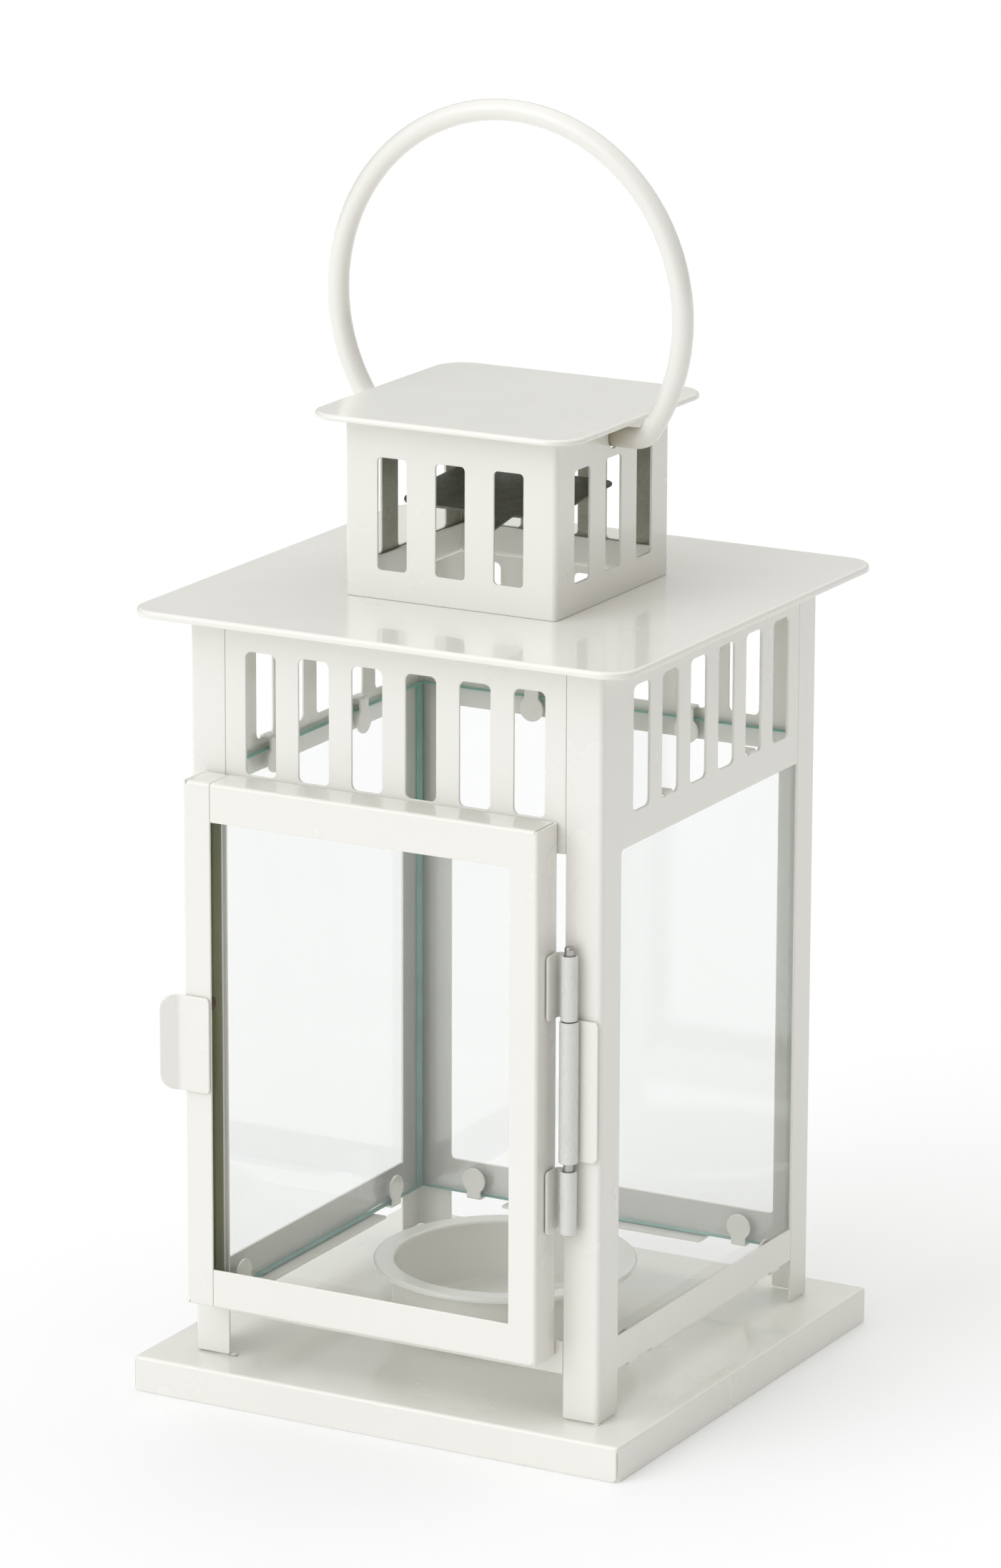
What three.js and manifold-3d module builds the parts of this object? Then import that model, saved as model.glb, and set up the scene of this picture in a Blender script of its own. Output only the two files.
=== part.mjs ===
// Sheet-metal candle lantern with a hinged glass door and a swinging ring handle.
// Millimetres, +Z up, origin at the middle of the footprint on the surface it stands on.
// The door is on the -Y side and its hinge is at the +X end of it.

import * as THREE from 'three';
import { mergeVertices } from 'three/addons/utils/BufferGeometryUtils.js';
import Module from 'manifold-3d';

const wasm = await Module();
wasm.setup();

// ---- Driving dimensions ----

const GAP = 0.3; // between pieces that touch on the real lantern
const SHEET = 0.8; // thickness of all the sheet metal
const BEND = 1.6; // outer radius of a folded edge

const BASE = { half: 77.5, height: 10.3, slit: 1.0 };
const BODY = { half: 64.7, flange: 11.2 };
const PANEL = {
  bottom: 172,
  slotWidth: 9.6,
  slotPitch: 16.85,
  slotCount: 6,
  slotBottom: 181.3,
  slotTop: 216.4,
};
const RAIL = { bottom: 23.5, top: 32.9, lipHalf: 33, lipReach: 7 };
const HOOK = {
  headRadius: 3.85,
  neck: 4.6,
  topSpread: 25.275,
  topHead: 175,
  bottomSpread: 44,
  bottomHead: 28.1,
};
const GLASS = { thickness: 2, bottom: 23.4, top: 178.4 };
const ROOF = { half: 77.8, corner: 9, top: 227.6, edge: 2, collar: 32.2, collarTop: 235.6 };
const CHIMNEY = {
  half: 33.3,
  top: 278.9,
  slotWidth: 9.15,
  slotPitch: 18.3,
  slotBottom: 235.9,
  slotTop: 267.7,
};
const CAP = { half: 41.85, corner: 9.5, top: 280, edge: 1.6 };
const BAFFLE = {
  width: 48.5,
  depth: 41,
  corner: 5,
  z: 253.3,
  tilt: 3.8,
  tabX: 9.15,
  tabWidth: 6,
  tabHeight: 8,
};
const CUP = { wall: 32.5, rim: 38, rimTop: 30, rimDrop: 1.6 };
const HANDLE = { tube: 3, ring: 54.3, ringZ: 306.9, pivotZ: 273.5, endX: 30, bend: 5, hole: 3.12 };
const DOOR = {
  left: -60.2,
  right: 51.3,
  bottom: 28.7,
  top: 181,
  front: -76.7,
  back: -65,
  stile: 8.6,
  rail: 11.2,
  backFlange: 6,
  glassInset: 3,
};
const PULL = { bottom: 91.6, top: 119.3, reachX: 5.7, reachY: 4, corner: 3.5 };
const HINGE = {
  x: 56.5,
  y: -67.8,
  pin: 1.4,
  bore: 1.5,
  pinBottom: 65.2,
  pinTop: 147.4,
  doorKnuckle: 2.4,
  bodyKnuckle: 2.7,
  leafFront: -72.2,
  leafRight: 64.2,
};
const KNUCKLES = { lower: [65.7, 83.7], body: [86.1, 126.3], upper: [126.6, 144.9] };

const ROUND_STEPS = 24; // facets round a pin or a knuckle
const CORNER_STEPS = 2; // each quarter-circle corner gets twice this many facets
const TUBE_STEPS = 8; // the handle's section gets twice this many facets
const BEND_STEPS = 4;
const HALF_RING_STEPS = 24;

// ---- Materials ----

const paint = { color: 0xefeee9, roughness: 0.25, metalness: 0 };
const zinc = { color: 0x6e716a, roughness: 0.45, metalness: 0.9 };
const steel = { color: 0xa9a9a6, roughness: 0.35, metalness: 1 };
const pane = { color: 0xe8f2ee, roughness: 0.02, metalness: 0, transparent: true, opacity: 0.3 };

// ---- Solids ----

function solidOf(geometry) {
  const bare = geometry.index ? geometry.toNonIndexed() : geometry.clone();
  bare.deleteAttribute('normal');
  bare.deleteAttribute('uv');
  const merged = mergeVertices(bare, 1e-4);
  const mesh = new wasm.Mesh({
    numProp: 3,
    vertProperties: new Float32Array(merged.attributes.position.array),
    triVerts: new Uint32Array(merged.index.array),
  });
  return new wasm.Manifold(mesh);
}

function geometryOf(solid) {
  const mesh = solid.getMesh();
  const geometry = new THREE.BufferGeometry();
  geometry.setAttribute('position', new THREE.BufferAttribute(mesh.vertProperties, 3));
  geometry.setIndex(new THREE.BufferAttribute(mesh.triVerts, 1));
  return geometry;
}

function block([x0, x1], [y0, y1], [z0, z1]) {
  const geometry = new THREE.BoxGeometry(x1 - x0, y1 - y0, z1 - z0);
  geometry.translate((x0 + x1) / 2, (y0 + y1) / 2, (z0 + z1) / 2);
  return solidOf(geometry);
}

// A flat outline in X and Y, raised from z0 to z1.
function raise(shape, [z0, z1]) {
  const options = { depth: z1 - z0, bevelEnabled: false, curveSegments: CORNER_STEPS };
  const geometry = new THREE.ExtrudeGeometry(shape, options);
  geometry.translate(0, 0, z0);
  return solidOf(geometry);
}

// An outline drawn in X and Z, pushed along Y from y0 to y1.
function raiseAlongY(shape, [y0, y1]) {
  const options = { depth: y1 - y0, bevelEnabled: false, curveSegments: CORNER_STEPS };
  const geometry = new THREE.ExtrudeGeometry(shape, options);
  geometry.rotateX(Math.PI / 2);
  geometry.translate(0, y1, 0);
  return solidOf(geometry);
}

function upright(radius, [z0, z1], x, y) {
  const geometry = new THREE.CylinderGeometry(radius, radius, z1 - z0, ROUND_STEPS);
  geometry.rotateX(Math.PI / 2);
  geometry.translate(x, y, (z0 + z1) / 2);
  return solidOf(geometry);
}

// A rectangle with round corners, traced into a Shape or a Path.
function roundedRectangle(target, [x0, x1], [y0, y1], radius) {
  const quarter = Math.PI / 2;
  target.moveTo(x0 + radius, y0);
  target.absarc(x1 - radius, y0 + radius, radius, -quarter, 0, false);
  target.absarc(x1 - radius, y1 - radius, radius, 0, quarter, false);
  target.absarc(x0 + radius, y1 - radius, radius, quarter, 2 * quarter, false);
  target.absarc(x0 + radius, y0 + radius, radius, 2 * quarter, 3 * quarter, false);
  target.closePath();
  return target;
}

function roundedSquare(half, radius) {
  return roundedRectangle(new THREE.Shape(), [-half, half], [-half, half], radius);
}

function squareTube(half, radius, span) {
  const shape = roundedSquare(half, radius);
  const inner = half - SHEET;
  const hole = new THREE.Path();
  roundedRectangle(hole, [-inner, inner], [-inner, inner], Math.max(radius - SHEET, 0.4));
  shape.holes.push(hole);
  return raise(shape, span);
}

// ---- Scene graph ----

const lantern = new THREE.Group();
lantern.name = 'candle_lantern';

function place(name, solid, finish, turn = 0) {
  const mesh = new THREE.Mesh(geometryOf(solid), new THREE.MeshStandardMaterial(finish));
  mesh.name = name;
  mesh.rotation.z = turn;
  lantern.add(mesh);
}

// The four sides of the body, each given as the turn that carries the front side onto it.
const QUARTER = Math.PI / 2;
const SIDES = { front: 0, right: QUARTER, back: 2 * QUARTER, left: 3 * QUARTER };

const outer = -BODY.half;
const inner = outer + SHEET;
const windowHalf = BODY.half - BODY.flange - GAP;
const roofUnderside = ROOF.top - SHEET;
const bodySpan = [BASE.height + GAP, roofUnderside - GAP];
const paneOuter = inner + GAP;
const paneInner = paneOuter + GLASS.thickness;
const hookOuter = paneInner + GAP;
const hookInner = hookOuter + SHEET;

// ---- Base and candle cup ----

function baseTray() {
  const { half, height, slit } = BASE;
  const hollow = half - SHEET;
  let tray = raise(roundedSquare(half, 0.6), [0, height]);
  tray = tray.subtract(block([-hollow, hollow], [-hollow, hollow], [-1, height - SHEET]));
  for (const x of [-half, half]) {
    for (const y of [-half, half]) {
      const slot = block([-slit / 2, slit / 2], [-2, 2], [-1, height - 2 * SHEET]);
      tray = tray.subtract(slot.rotate([0, 0, x * y > 0 ? -45 : 45]).translate([x, y, 0]));
    }
  }
  return tray;
}

function candleCup() {
  const floor = BASE.height + GAP;
  const rimUnder = CUP.rimTop - CUP.rimDrop;
  const profile = [
    [0, floor],
    [CUP.wall - 1, floor],
    [CUP.wall, floor + 1],
    [CUP.wall, rimUnder],
    [CUP.rim, rimUnder],
    [CUP.rim, CUP.rimTop - SHEET],
    [CUP.rim - SHEET, CUP.rimTop],
    [CUP.wall - SHEET, CUP.rimTop],
    [CUP.wall - SHEET, floor + SHEET],
    [0, floor + SHEET],
  ];
  const points = profile.map(([r, z]) => new THREE.Vector2(r, z));
  const geometry = new THREE.LatheGeometry(points, 2 * ROUND_STEPS);
  geometry.rotateX(Math.PI / 2);
  return solidOf(geometry);
}

// ---- Body: corner posts, slotted panels, rails and glass ----

// The post at the +X, -Y corner; the others are the same one turned.
function cornerPost() {
  const { half, flange } = BODY;
  const shape = new THREE.Shape();
  const bendX = half - BEND;
  const bendY = -half + BEND;
  shape.moveTo(half - flange, -half);
  shape.absarc(bendX, bendY, BEND, -Math.PI / 2, 0, false);
  shape.lineTo(half, -half + flange);
  shape.lineTo(half - SHEET, -half + flange);
  shape.absarc(bendX, bendY, BEND - SHEET, 0, -Math.PI / 2, true);
  shape.lineTo(half - flange, -half + SHEET);
  shape.closePath();
  return raise(shape, bodySpan);
}

// A round tongue that folds over an edge of the glass: the strip crosses the edge between the
// heights in crossing, and the neck and the head lie on the inner face of the glass.
function glassHook(x, crossing, headZ) {
  const halfNeck = HOOK.neck / 2;
  const neckX = [x - halfNeck, x + halfNeck];
  const neckZ = [Math.min(crossing[0], headZ), Math.max(crossing[1], headZ)];
  const radius = HOOK.headRadius;
  const headX = [x - radius, x + radius];
  const headSpanZ = [headZ - radius, headZ + radius];
  const head = roundedRectangle(new THREE.Shape(), headX, headSpanZ, radius);
  const strip = block(neckX, [outer, hookInner], crossing);
  const neck = block(neckX, [hookOuter, hookInner], neckZ);
  return strip.add(neck).add(raiseAlongY(head, [hookOuter, hookInner]));
}

function slottedPanel(holdsGlass) {
  const shape = new THREE.Shape();
  shape.moveTo(-windowHalf, PANEL.bottom);
  shape.lineTo(windowHalf, PANEL.bottom);
  shape.lineTo(windowHalf, bodySpan[1]);
  shape.lineTo(-windowHalf, bodySpan[1]);
  shape.closePath();
  for (let i = 0; i < PANEL.slotCount; i += 1) {
    const x = (i - (PANEL.slotCount - 1) / 2) * PANEL.slotPitch;
    const span = [x - PANEL.slotWidth / 2, x + PANEL.slotWidth / 2];
    shape.holes.push(roundedRectangle(new THREE.Path(), span, [PANEL.slotBottom, PANEL.slotTop], 1.8));
  }
  let panel = raiseAlongY(shape, [outer, inner]);
  if (holdsGlass) {
    const crossing = [PANEL.slotBottom - 0.5, PANEL.slotBottom + 0.5];
    for (const x of [-HOOK.topSpread, HOOK.topSpread]) {
      panel = panel.add(glassHook(x, crossing, HOOK.topHead));
    }
  }
  return panel;
}

function lowerRail(holdsGlass) {
  let rail = block([-windowHalf, windowHalf], [outer, inner], [RAIL.bottom, RAIL.top]);
  if (holdsGlass) {
    const shelf = [GLASS.bottom - GAP - SHEET, GLASS.bottom - GAP];
    const lipX = [-RAIL.lipHalf, RAIL.lipHalf];
    rail = rail.add(block(lipX, [outer, outer + RAIL.lipReach], shelf));
    rail = rail.add(block(lipX, [outer, inner], [shelf[0], RAIL.bottom + SHEET]));
    for (const x of [-HOOK.bottomSpread, HOOK.bottomSpread]) {
      rail = rail.add(glassHook(x, shelf, HOOK.bottomHead));
      const root = [x - HOOK.neck / 2, x + HOOK.neck / 2];
      rail = rail.add(block(root, [outer, inner], [shelf[0], RAIL.bottom + SHEET]));
    }
  }
  return rail;
}

// The back pane reaches into both corners, and the side panes stop short of it. Before it is
// turned, the right pane has its back end at +X and the left pane has it at -X.
function fixedPane(side) {
  const full = -paneOuter - GAP;
  const short = -paneInner - GAP;
  const spans = { back: [-full, full], right: [-full, short], left: [-short, full] };
  return block(spans[side], [paneOuter, paneInner], [GLASS.bottom, GLASS.top]);
}

// ---- Roof, chimney, cap and heat baffle ----

function roofPlate() {
  const opening = ROOF.collar - SHEET;
  const shape = roundedSquare(ROOF.half, ROOF.corner);
  shape.holes.push(roundedRectangle(new THREE.Path(), [-opening, opening], [-opening, opening], 0.8));
  const plate = raise(shape, [roofUnderside, ROOF.top]);
  const edge = squareTube(ROOF.half, ROOF.corner, [ROOF.top - ROOF.edge, ROOF.top]);
  const collar = squareTube(ROOF.collar, BEND, [roofUnderside, ROOF.collarTop]);
  return plate.add(edge).add(collar);
}

function crossRod(radius, halfLength, z) {
  const geometry = new THREE.CylinderGeometry(radius, radius, 2 * halfLength, ROUND_STEPS);
  geometry.rotateZ(Math.PI / 2);
  geometry.translate(0, 0, z);
  return solidOf(geometry);
}

function chimneyTube() {
  let tube = squareTube(CHIMNEY.half, BEND, [ROOF.top + GAP, CHIMNEY.top]);
  for (const i of [-1, 0, 1]) {
    const x = i * CHIMNEY.slotPitch;
    const span = [x - CHIMNEY.slotWidth / 2, x + CHIMNEY.slotWidth / 2];
    const slot = roundedRectangle(new THREE.Shape(), span, [CHIMNEY.slotBottom, CHIMNEY.slotTop], 1.2);
    const cutter = raiseAlongY(slot, [-CHIMNEY.half - 1, CHIMNEY.half + 1]);
    tube = tube.subtract(cutter).subtract(cutter.rotate([0, 0, 90]));
  }
  return tube.subtract(crossRod(HANDLE.hole, CHIMNEY.half + 1, HANDLE.pivotZ));
}

function capPlate() {
  const plate = raise(roundedSquare(CAP.half, CAP.corner), [CAP.top - SHEET, CAP.top]);
  return plate.add(squareTube(CAP.half, CAP.corner, [CAP.top - CAP.edge, CAP.top]));
}

// A tilted plate with a tab at the front and one at the back, turned up against the bars of the chimney.
function heatBaffle() {
  const { width, depth, corner, z, tilt, tabX, tabWidth, tabHeight } = BAFFLE;
  const half = SHEET / 2;
  const reach = CHIMNEY.half - SHEET - GAP;
  const spanX = [-width / 2, width / 2];
  const spanY = [-depth / 2, depth / 2];
  let baffle = raise(roundedRectangle(new THREE.Shape(), spanX, spanY, corner), [-half, half]);
  const tabs = [[-1, tabX], [1, -tabX]];
  for (const [way, x] of tabs) {
    const span = [x - tabWidth / 2, x + tabWidth / 2];
    const run = way < 0 ? [-reach + half, 0] : [0, reach - half];
    baffle = baffle.add(block(span, run, [-half, half]));
  }
  baffle = baffle.rotate([tilt, 0, 0]).translate([0, 0, z]);
  for (const [way, x] of tabs) {
    const span = [x - tabWidth / 2, x + tabWidth / 2];
    const foot = z + way * reach * Math.tan(THREE.MathUtils.degToRad(tilt)) - half;
    const wall = way < 0 ? [-reach, -reach + SHEET] : [reach - SHEET, reach];
    baffle = baffle.add(block(span, wall, [foot, foot + tabHeight]));
  }
  return baffle;
}

// ---- Handle ----

// Straight end, bend, ring, bend, straight end, in the plane y = 0. The bends are tangent to the ring.
class HandlePath extends THREE.Curve {
  constructor() {
    super();
    const rise = HANDLE.ringZ - HANDLE.pivotZ - HANDLE.bend;
    this.bendX = Math.sqrt((HANDLE.ring - HANDLE.bend) ** 2 - rise ** 2);
    this.ringStart = -Math.atan2(rise, this.bendX);
    this.steps = 2 * (1 + BEND_STEPS + HALF_RING_STEPS);
  }

  // The point that many steps from an end, on the +X half.
  halfPoint(step) {
    const { ring, ringZ, pivotZ, endX, bend } = HANDLE;
    if (step <= 1) {
      return [THREE.MathUtils.lerp(endX, this.bendX, step), pivotZ];
    }
    if (step <= 1 + BEND_STEPS) {
      const turned = ((Math.PI / 2 + this.ringStart) * (step - 1)) / BEND_STEPS;
      return [this.bendX + bend * Math.sin(turned), pivotZ + bend - bend * Math.cos(turned)];
    }
    const along = (step - 1 - BEND_STEPS) / HALF_RING_STEPS;
    const angle = THREE.MathUtils.lerp(this.ringStart, Math.PI / 2, along);
    return [ring * Math.cos(angle), ringZ + ring * Math.sin(angle)];
  }

  getPoint(t) {
    const [x, z] = this.halfPoint(Math.min(t, 1 - t) * this.steps);
    return new THREE.Vector3(t < 0.5 ? x : -x, 0, z);
  }

  // The steps are closer in the bends on purpose, so they aren't respaced by length.
  getPointAt(t) {
    return this.getPoint(t);
  }

  getTangentAt(t) {
    return this.getTangent(t);
  }
}

function handleRod() {
  const path = new HandlePath();
  const section = new THREE.Shape().absarc(0, 0, HANDLE.tube, 0, 2 * Math.PI, false);
  return solidOf(
    new THREE.ExtrudeGeometry(section, {
      steps: path.steps,
      extrudePath: path,
      curveSegments: TUBE_STEPS,
    }),
  );
}

// ---- Door ----

const DOOR_SPAN_Z = [DOOR.bottom, DOOR.top];
const DOOR_SHEET_Y = [DOOR.front, DOOR.front + SHEET];
const DOOR_BACK_Y = [DOOR.back - SHEET, DOOR.back];

// The span from an outer edge of the door inward; side is -1 at the low edge and 1 at the high one.
function inward(edge, side, depth) {
  return side < 0 ? [edge, edge + depth] : [edge - depth, edge];
}

// A folded channel along Z: front flange, outer side wall and a narrower back flange.
function doorStile(side) {
  const edge = side < 0 ? DOOR.left : DOOR.right;
  const front = block(inward(edge, side, DOOR.stile), DOOR_SHEET_Y, DOOR_SPAN_Z);
  const wall = block(inward(edge, side, SHEET), [DOOR.front, DOOR.back], DOOR_SPAN_Z);
  const back = block(inward(edge, side, DOOR.backFlange), DOOR_BACK_Y, DOOR_SPAN_Z);
  return front.add(wall).add(back);
}

// The same channel along X. Its flanges end at the stiles', and its wall runs on inside them.
function doorRail(side) {
  const edge = side < 0 ? DOOR.bottom : DOOR.top;
  const between = (inset) => [DOOR.left + inset + GAP, DOOR.right - inset - GAP];
  const insideY = [DOOR_SHEET_Y[1] + GAP, DOOR_BACK_Y[0] - GAP];
  const wallZ = inward(edge, side, SHEET);
  const front = block(between(DOOR.stile), DOOR_SHEET_Y, inward(edge, side, DOOR.rail));
  const back = block(between(DOOR.backFlange), DOOR_BACK_Y, inward(edge, side, DOOR.backFlange));
  const wall = block(between(DOOR.stile), [DOOR.front, DOOR.back], wallZ);
  return wall.add(block(between(SHEET), insideY, wallZ)).add(front).add(back);
}

function doorGlass() {
  const inset = DOOR.glassInset;
  const face = DOOR.front + SHEET + GAP;
  const spanX = [DOOR.left + inset, DOOR.right - inset];
  return block(spanX, [face, face + GLASS.thickness], [DOOR.bottom + inset, DOOR.top - inset]);
}

// A flat strip on the left stile whose free end turns outward past the edge of the door.
function doorPull() {
  const back = DOOR.front - GAP;
  const fold = DOOR.left;
  const tipX = fold - PULL.reachX;
  const profile = new THREE.Shape();
  profile.moveTo(fold + DOOR.stile, back);
  profile.lineTo(fold, back);
  profile.lineTo(tipX, back - PULL.reachY + SHEET);
  profile.lineTo(tipX, back - PULL.reachY);
  profile.lineTo(fold, back - SHEET);
  profile.lineTo(fold + DOOR.stile, back - SHEET);
  profile.closePath();
  const strip = raise(profile, [PULL.bottom, PULL.top]);
  const spanX = [tipX, fold + DOOR.stile + PULL.corner];
  const outline = roundedRectangle(new THREE.Shape(), spanX, [PULL.bottom, PULL.top], PULL.corner);
  return strip.intersect(raiseAlongY(outline, [back - PULL.reachY - 1, back + 1]));
}

// ---- Hinge ----

function knuckle(radius, span) {
  return upright(radius, span, HINGE.x, HINGE.y);
}

function bored(solid) {
  return solid.subtract(upright(HINGE.bore, [0, ROOF.top], HINGE.x, HINGE.y));
}

function hingeBodyLeaf() {
  const back = HINGE.y + HINGE.bodyKnuckle;
  const leaf = block([HINGE.x, HINGE.leafRight], [back - SHEET, back], KNUCKLES.body);
  return bored(knuckle(HINGE.bodyKnuckle, KNUCKLES.body).add(leaf));
}

// The leaf lies on the side of the door, then turns along the front of the post to the knuckle.
function hingeDoorLeaf(span) {
  const back = HINGE.y + HINGE.doorKnuckle;
  const face = DOOR.right + GAP;
  const onDoor = block([face, face + SHEET], [HINGE.leafFront, back], span);
  const arm = block([face, HINGE.x], [back - SHEET, back], span);
  return bored(knuckle(HINGE.doorKnuckle, span).add(arm)).add(onDoor);
}

// ---- Assembly ----

place('base_tray', baseTray(), paint);
place('candle_cup', candleCup(), paint);

const POST_TURNS = {
  front_right_post: SIDES.front,
  back_right_post: SIDES.right,
  back_left_post: SIDES.back,
  front_left_post: SIDES.left,
};
for (const [name, turn] of Object.entries(POST_TURNS)) {
  place(name, cornerPost(), paint, turn);
}
for (const [side, turn] of Object.entries(SIDES)) {
  const holdsGlass = side !== 'front';
  place(`${side}_panel`, slottedPanel(holdsGlass), paint, turn);
  place(`${side}_rail`, lowerRail(holdsGlass), paint, turn);
  if (holdsGlass) {
    place(`${side}_glass`, fixedPane(side), pane, turn);
  }
}

place('roof', roofPlate(), paint);
place('chimney', chimneyTube(), paint);
place('cap', capPlate(), paint);
place('heat_baffle', heatBaffle(), zinc);
place('handle', handleRod(), paint);

place('door_left_stile', doorStile(-1), paint);
place('door_right_stile', doorStile(1), paint);
place('door_bottom_rail', doorRail(-1), paint);
place('door_top_rail', doorRail(1), paint);
place('door_glass', doorGlass(), pane);
place('door_pull', doorPull(), paint);

place('hinge_body_leaf', hingeBodyLeaf(), paint);
place('hinge_door_leaf_upper', hingeDoorLeaf(KNUCKLES.upper), paint);
place('hinge_door_leaf_lower', hingeDoorLeaf(KNUCKLES.lower), paint);
place('hinge_pin', upright(HINGE.pin, [HINGE.pinBottom, HINGE.pinTop], HINGE.x, HINGE.y), steel);

export default lantern;
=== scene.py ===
"""A candle lantern of folded sheet steel, with glass panes, a hinged door and a ring handle.

Lengths are in millimetres until a mesh is finished, and in metres from there on. Each sheet-metal piece is
laid out flat, with its thickness and its eased edges, and is then folded along its bends.
"""

import math

import bmesh
import bpy
from mathutils import Matrix, Vector, noise
from mathutils.geometry import delaunay_2d_cdt


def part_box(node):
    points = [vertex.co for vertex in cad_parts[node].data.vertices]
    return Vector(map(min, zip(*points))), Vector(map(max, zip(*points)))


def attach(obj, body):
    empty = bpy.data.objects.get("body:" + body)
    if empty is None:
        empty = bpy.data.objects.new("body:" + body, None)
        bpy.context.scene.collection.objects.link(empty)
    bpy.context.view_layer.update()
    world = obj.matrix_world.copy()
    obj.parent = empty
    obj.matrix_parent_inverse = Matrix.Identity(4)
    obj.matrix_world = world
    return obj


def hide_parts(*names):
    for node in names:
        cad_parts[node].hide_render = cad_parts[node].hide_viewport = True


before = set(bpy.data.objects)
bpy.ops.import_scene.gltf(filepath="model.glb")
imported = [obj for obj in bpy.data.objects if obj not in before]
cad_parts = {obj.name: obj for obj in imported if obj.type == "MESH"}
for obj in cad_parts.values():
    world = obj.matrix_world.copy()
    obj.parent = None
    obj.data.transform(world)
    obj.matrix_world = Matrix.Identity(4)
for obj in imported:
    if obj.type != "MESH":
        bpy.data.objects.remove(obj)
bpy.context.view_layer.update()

MM = 0.001
QUARTER = math.pi / 2


def cad(node):
    """The lowest and highest corner of a CAD node, in millimetres."""
    low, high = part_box(node)
    return low / MM, high / MM


# ---- Sizes ----

SHEET = 0.8  # thickness of all the sheet metal
EASE = 0.22  # how far its cut edges are rounded
BEND = 1.6  # outer radius of the body's corner folds
TIGHT_BEND = 1.0  # outer radius of the small folds
SEAM = 0.1  # gap between two sheets that meet

TRAY_LOW, TRAY_HIGH = cad("base_tray")
POST_LOW, POST_HIGH = cad("front_right_post")
PANEL_LOW, PANEL_HIGH = cad("front_panel")
RAIL_LOW, RAIL_HIGH = cad("front_rail")
CUP_LOW, CUP_HIGH = cad("candle_cup")
ROOF_LOW, ROOF_HIGH = cad("roof")
_, CHIMNEY_HIGH = cad("chimney")
CAP_LOW, CAP_HIGH = cad("cap")
HANDLE_LOW, HANDLE_HIGH = cad("handle")
STILE_LOW, STILE_HIGH = cad("door_left_stile")
_, FAR_STILE_HIGH = cad("door_right_stile")
PULL_LOW, PULL_HIGH = cad("door_pull")
PIN_LOW, PIN_HIGH = cad("hinge_pin")

BODY_HALF = POST_HIGH.x
POST_WIDTH = POST_HIGH.x - POST_LOW.x
WINDOW_HALF = BODY_HALF - POST_WIDTH

SLOT_WIDTH = 9.6
SLOT_PITCH = 16.85
SLOT_COUNT = 6
SLOT_BOTTOM = 181.3
SLOT_TOP = 216.4
SLOT_CORNER = 1.8

HOOK_HEAD = 3.85  # radius of the round tongues that hold the glass
HOOK_NECK = 4.6
HOOK_DEPTH = 4.2  # from the outer face of the body to the room side of a tongue
TOP_HOOK_SLOTS = (1, 4)
TOP_HOOK_Z = 175.0
BOTTOM_HOOK_X = 44.0
BOTTOM_HOOK_Z = 28.1
LIP_HALF = 33.0
LIP_REACH = 7.0
LIP_ROOT = 23.3

PLATE_TOP = 227.6  # the top face of the roof
COLLAR_HALF = 32.2
ROOF_CORNER = 9.0
CAP_CORNER = 9.5

VENT_WIDTH = 9.15
VENT_PITCH = 18.3
VENT_BOTTOM = 235.9
VENT_TOP = 267.7
HANDLE_HOLE = 3.45  # radius
HANDLE_PAINTED_SHADE = (("X", 0.034, 0.042), ("Z", 0.277, 0.284))  # painted shade on the handle's ends, where the cap shades them in the chimney's holes, in metres
FOOT_GAP = 0.2  # between the posts and the tray, bridged by welds

DOOR_FACE = 8.6  # width of the stiles' front faces
DOOR_RAIL_FACE = 11.2
DOOR_RETURN = 6.0  # width of the folds at the back of the door
DOOR_SLIT = 0.15  # gap at the door's corners, between one fold and the next

KNUCKLE_DOOR = 2.4  # outer radius of the door leaves' knuckles
KNUCKLE_BODY = 2.7
CURL = 300  # degrees that a knuckle wraps round the pin


# ---- Flat outlines ----


def arc_points(centre, radius, start, sweep, step=math.radians(15)):
    count = max(2, math.ceil(abs(sweep) / step))
    angles = [start + sweep * i / count for i in range(count + 1)]
    return [(centre[0] + radius * math.cos(a), centre[1] + radius * math.sin(a)) for a in angles]


def rounded(corners):
    """A closed outline from (x, y, radius) corners. A radius of 0 keeps the point as it is."""
    outline = []
    for i, (x, y, radius) in enumerate(corners):
        if not radius:
            outline.append((x, y))
            continue
        here = Vector((x, y))
        back = (Vector(corners[i - 1][:2]) - here).normalized()
        ahead = (Vector(corners[(i + 1) % len(corners)][:2]) - here).normalized()
        half_angle = back.angle(ahead) / 2
        centre = here + (back + ahead).normalized() * (radius / math.sin(half_angle))
        first = here + back * (radius / math.tan(half_angle)) - centre
        sweep = math.pi - 2 * half_angle
        turns_left = ahead.cross(back) > 0
        outline += arc_points(centre, radius, math.atan2(first.y, first.x), sweep if turns_left else -sweep)
    return outline


def rectangle(x0, x1, y0, y1, radius=0.0):
    return rounded([(x0, y0, radius), (x1, y0, radius), (x1, y1, radius), (x0, y1, radius)])


def wound(outline, way):
    """The outline, run counter-clockwise where way is 1 and clockwise where it is -1."""
    pairs = zip(outline, outline[1:] + outline[:1])
    area = sum(x0 * y1 - x1 * y0 for (x0, y0), (x1, y1) in pairs)
    return outline if area * way > 0 else outline[::-1]


def inset(outline, distance):
    """The outline moved to its left, with mitred corners."""
    moved = []
    for i, point in enumerate(outline):
        here = Vector(point)
        back = (here - Vector(outline[i - 1])).normalized()
        ahead = (Vector(outline[(i + 1) % len(outline)]) - here).normalized()
        mitre = Vector((-back.y - ahead.y, back.x + ahead.x))
        moved.append(here + mitre * (2 * distance / mitre.length_squared))
    return moved


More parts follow.
